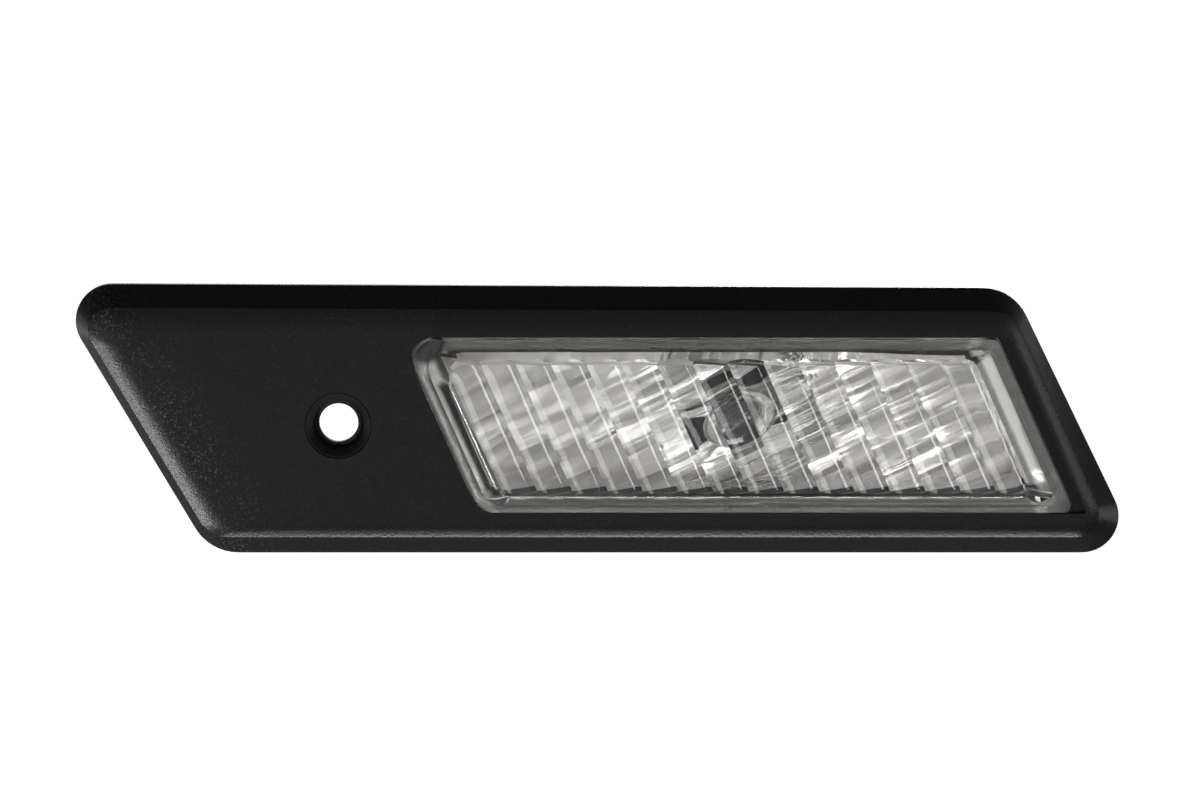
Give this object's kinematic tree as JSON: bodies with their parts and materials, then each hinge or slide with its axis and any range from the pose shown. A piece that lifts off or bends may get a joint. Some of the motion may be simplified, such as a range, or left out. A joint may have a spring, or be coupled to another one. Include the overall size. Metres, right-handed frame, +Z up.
{
  "type": "side repeater lamp",
  "caption": "Slanted side repeater lamp: black bezel with a sunk screw hole, proud clear lens with slanted flutes, mirrored reflector, wedge bulb in a twist-in holder.",
  "frame": {"origin": "on the axis of the screw hole, in the plane of the panel that the lamp is mounted on", "axes": "+X along the lamp from the screw hole to the lens, +Z up, -Y out of the panel toward the viewer"},
  "size_m": [0.147, 0.0467, 0.0383],
  "materials": {
    "bezel_plastic": "satin black moulding",
    "lens_plastic": "clear polished moulding",
    "housing_plastic": "black moulding",
    "reflector_metallised": "metallised mirror coat",
    "gasket_foam": "soft closed-cell foam",
    "bulb_clear_glass": "clear blown glass",
    "lead_wire_metal": "drawn wire",
    "filament_tungsten": "coiled wire",
    "holder_plastic": "black moulding",
    "contact_brass": "tinned stamped strip",
    "seal_rubber": "moulded rubber"
  },
  "bodies": {
    "root": {"bezel": "bezel_plastic", "lens": "lens_plastic", "housing": "housing_plastic", "reflector": "reflector_metallised", "panel_gasket": "gasket_foam", "bulb_glass": "bulb_clear_glass", "bulb_bead": "bulb_clear_glass", "lead_wire_left": "lead_wire_metal", "lead_wire_right": "lead_wire_metal", "filament": "filament_tungsten", "bulb_holder": "holder_plastic", "contact_upper": "contact_brass", "contact_lower": "contact_brass", "holder_seal": "seal_rubber"}
  },
  "joints": []
}
